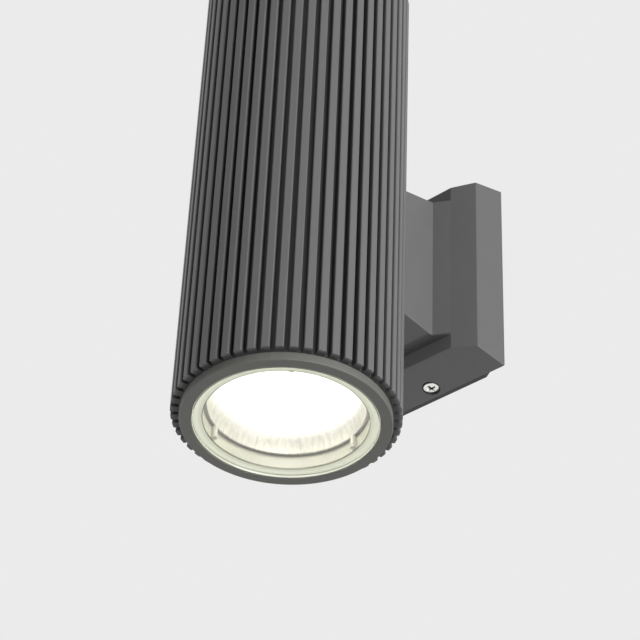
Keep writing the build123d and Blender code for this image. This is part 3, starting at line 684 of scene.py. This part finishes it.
def sealPoints(end, side):
    # a flat ring whose face to the glass carries low humps: at the share s of its width the face lies
    # lift + hump * (1 + cos(humps * 2 pi * s)) / 2 off the glass
    low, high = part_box(end + "_glass_seal")
    face = high[2] if side > 0 else low[2]
    thickness = high[2] - low[2]
    outer = (high[0] - low[0]) / 2 - seal["outerGap"]
    share = np.linspace(0, 1, seal["across"])
    frontRadius = seal["inner"] + (outer - seal["inner"]) * share
    dip = seal["hump"] * (1 + np.cos(seal["humps"] * 2 * np.pi * share)) / 2
    frontLevel = face - side * (seal["lift"] + dip)
    backLevel = np.full(2, face - side * thickness)
    radius = np.concatenate([frontRadius, [frontRadius[-1], frontRadius[0]]])[:, None]
    level = np.concatenate([frontLevel, backLevel])[:, None]
    around = np.linspace(0, 2 * np.pi, seal["around"], endpoint=False)
    return np.stack([radius * np.cos(around), axisY + radius * np.sin(around), level + 0 * around], axis=-1)


for end, side in ends.items():
    points = sealPoints(end, side)
    pieceName = end + "SiliconeSeal"
    glassSeal = gridPiece(pieceName, points, finishes["glass_seal"], seal["sharpAngle"])
    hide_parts(end + "_glass_seal")
print("seals laid")


screw = {
    "headRadius": 3.75 * mm,
    "headHeight": 2.6 * mm,
    "dome": 0.15,  # the share of the height that the dome falls away by at its rim
    "rimLevels": (0.85, 0.612, 0.255, 0.0),  # shares of the head's height and radius down its side
    "rimRadii": (0.98, 1.0, 1.0, 0.98),
    "topShare": 0.97,
    "crossReach": 2.6 * mm,
    "crossWidth": 1.25 * mm,
    "crossDepth": 2.0 * mm,
    "crossWall": 0.28 * mm,  # width of the recess's sloping side walls and end walls
    "crossEnd": 1.1 * mm,
    "shankRadius": 1.95 * mm,
    "shankLength": 7.5 * mm,
    "pitch": 0.7 * mm,
    "threadDepth": 0.35,  # share of the pitch
    "threadFade": 0.8 * mm,
    "threadSteps": 60,
    "tipLength": 0.6 * mm,
    "tipShare": 0.7,
    "rings": 44,
    "spokes": 144,
    "sharpAngle": 32,  # degrees
}


def screwPoints(seatZ, side):
    # head: a dome, headHeight * (1 - dome * r^4) at the share r of its radius, less a cross recess that
    # narrows as it goes down; shank: a helix ridge, shankRadius - threadDepth * pitch * w, with w a triangle
    # wave of z / pitch less the share of a turn
    angle = np.linspace(0, 2 * np.pi, screw["spokes"], endpoint=False)
    flat = np.ones((1, screw["spokes"]))
    share = np.linspace(0, 1, screw["rings"])[:, None]
    topRadius = share * screw["headRadius"]
    x = topRadius * np.cos(angle)
    y = topRadius * np.sin(angle)
    arm = np.minimum(np.abs(x), np.abs(y))
    reach = np.maximum(np.abs(x), np.abs(y))
    slope = np.clip((screw["crossWidth"] / 2 - arm) / screw["crossWall"], 0, 1)
    stop = np.clip((screw["crossReach"] - reach) / screw["crossEnd"], 0, 1)
    dome = screw["headHeight"] * (1 - screw["dome"] * share**4)
    topLevel = dome - screw["crossDepth"] * slope * stop
    rimRadius = screw["headRadius"] * np.array(screw["rimRadii"])[:, None]
    rimLevel = screw["headHeight"] * np.array(screw["rimLevels"])[:, None]
    drop = np.linspace(0, screw["shankLength"] - screw["tipLength"], screw["threadSteps"])[:, None]
    ridge = np.abs(((drop / screw["pitch"] - angle / (2 * np.pi)) % 1) * 2 - 1)
    fade = np.clip(drop / screw["threadFade"], 0, 1)
    shankRadius = screw["shankRadius"] - screw["pitch"] * screw["threadDepth"] * ridge * fade
    tipRadius = np.array([[screw["shankRadius"] * screw["tipShare"]], [0.0]])
    tipLevel = np.full((2, 1), -screw["shankLength"])
    radii = [topRadius * screw["topShare"] * flat, rimRadius * flat, shankRadius, tipRadius * flat]
    levels = [topLevel, rimLevel * flat, -drop * flat, tipLevel * flat]
    radius = np.concatenate(radii)
    level = seatZ + side * np.concatenate(levels)
    return np.stack([radius * np.cos(angle), screwY + radius * np.sin(angle), level], axis=-1)


headZinc = screwZinc("screwZinc")
seatZ = screwHigh[2] - screw["headHeight"]
for end, side in ends.items():
    points = screwPoints(side * seatZ, side)
    pieceName = end + "CoverScrew"
    coverScrew = gridPiece(pieceName, points, headZinc, screw["sharpAngle"], closedRows=False)
    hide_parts("cover_screws")
print("cover screws cut")


# Studio: pale floor and surroundings, and a wide soft box on each side. The left one shows in no mirror,
# where it would glare off the casting's front
studio = {
    "background": paint(235, 235, 235),
    "ambient": 0.165,
    "floor": paint(206, 206, 206),
    "floorGloss": 0.1,
    "floorRoughness": 0.9,
    "floorLevel": -1.1,
    "floorSize": 30.0,
    "floorPale": 0.78,
    "boxes": {
        "rightBox": {"place": (2.4, -0.34, -0.45), "width": 1.7, "power": 66.0, "mirrored": True},
        "leftBox": {"place": (-2.4, -0.55, -0.3), "width": 1.2, "power": 26.0, "mirrored": False},
    },
}


def seenRays(tree):
    # 1 for what the camera, a mirror or a glass sees, 0 for the light that falls on things
    path = tree.nodes.new("ShaderNodeLightPath")
    socket = path.outputs["Is Camera Ray"]
    for ray in ("Is Glossy Ray", "Is Transmission Ray"):
        either = tree.nodes.new("ShaderNodeMath")
        either.operation = "MAXIMUM"
        tree.links.new(socket, either.inputs[0])
        tree.links.new(path.outputs[ray], either.inputs[1])
        socket = either.outputs[0]
    return socket


world = bpy.data.worlds.new("studioAir")
bpy.context.scene.world = world
world.use_nodes = True
air = world.node_tree
air.nodes.clear()
dim = air.nodes.new("ShaderNodeBackground")
dim.inputs["Color"].default_value = white
dim.inputs["Strength"].default_value = studio["ambient"]
pale = air.nodes.new("ShaderNodeBackground")
pale.inputs["Color"].default_value = studio["background"]
choice = air.nodes.new("ShaderNodeMixShader")
air.links.new(seenRays(air), choice.inputs[0])
air.links.new(dim.outputs[0], choice.inputs[1])
air.links.new(pale.outputs[0], choice.inputs[2])
sky = air.nodes.new("ShaderNodeOutputWorld")
air.links.new(choice.outputs[0], sky.inputs["Surface"])

floorCorners = np.array([[-1, -1], [1, -1], [1, 1], [-1, 1]]) * studio["floorSize"]
floorMesh = bpy.data.meshes.new("floor")
floorMesh.from_pydata([(x, y, studio["floorLevel"]) for x, y in floorCorners.tolist()], [], [(0, 1, 2, 3)])
floor = bpy.data.objects.new("floor", floorMesh)
bpy.context.scene.collection.objects.link(floor)
floorFinish = Finish("paleFloor", specular_ior_level=studio["floorGloss"], roughness=studio["floorRoughness"])
floorFinish.set("Base Color", studio["floor"])
seen = Wire(floorFinish, seenRays(floorFinish.tree))
lifted = floorFinish.add("Emission", sockets={"Color": studio["background"], "Strength": studio["floorPale"]})
unlifted = floorFinish.add("Emission", sockets={"Strength": 0.0})
lift = floorFinish.add("MixShader", sockets={0: seen, 1: unlifted, 2: lifted})
surface = Wire(floorFinish, floorFinish.surface.outputs[0])
both = floorFinish.add("AddShader", sockets={0: surface, 1: lift})
floorFinish.feed(floorFinish.output.inputs["Surface"], both)
floorMesh.materials.append(floorFinish.material)

aim = Vector((0.0, axisY, 0.0))
for boxName, box in studio["boxes"].items():
    lamp = bpy.data.lights.new(boxName, "AREA")
    lamp.size = box["width"]
    lamp.energy = box["power"]
    softBox = bpy.data.objects.new(boxName, lamp)
    softBox.location = box["place"]
    softBox.rotation_euler = (aim - Vector(box["place"])).to_track_quat("-Z", "Y").to_euler()
    softBox.visible_camera = False
    softBox.visible_glossy = box["mirrored"]
    bpy.context.scene.collection.objects.link(softBox)
print("studio lit")


# Camera: below and to the right of the lamp, looking up at it with a long lens. Angles are in degrees
shot = {
    "place": (0.528017, -0.669133, -0.683322),
    "turn": 42.323,
    "tilt": 38.386,
    "roll": 2.576,
    "focalPixels": 2212.39,
    "imageSide": 640,
    "sensor": 36.0,
    "nearest": 0.01,
}
turn, tilt, roll = (math.radians(shot[key]) for key in ("turn", "tilt", "roll"))
forward = Vector((-math.sin(turn) * math.cos(tilt), math.cos(turn) * math.cos(tilt), math.sin(tilt)))
level = Vector((math.cos(turn), math.sin(turn), 0.0))
upright = level.cross(forward)
right = math.cos(roll) * level + math.sin(roll) * upright
up = math.cos(roll) * upright - math.sin(roll) * level
lens = bpy.data.cameras.new("camera")
lens.sensor_width = shot["sensor"]
lens.lens = shot["focalPixels"] / shot["imageSide"] * shot["sensor"]
lens.clip_start = shot["nearest"]
camera = bpy.data.objects.new("camera", lens)
facing = Matrix((right, up, -forward)).transposed().to_4x4()
camera.matrix_world = Matrix.Translation(shot["place"]) @ facing
bpy.context.scene.collection.objects.link(camera)
bpy.context.scene.camera = camera
bpy.context.scene.view_settings.view_transform = "Standard"
print("camera set")
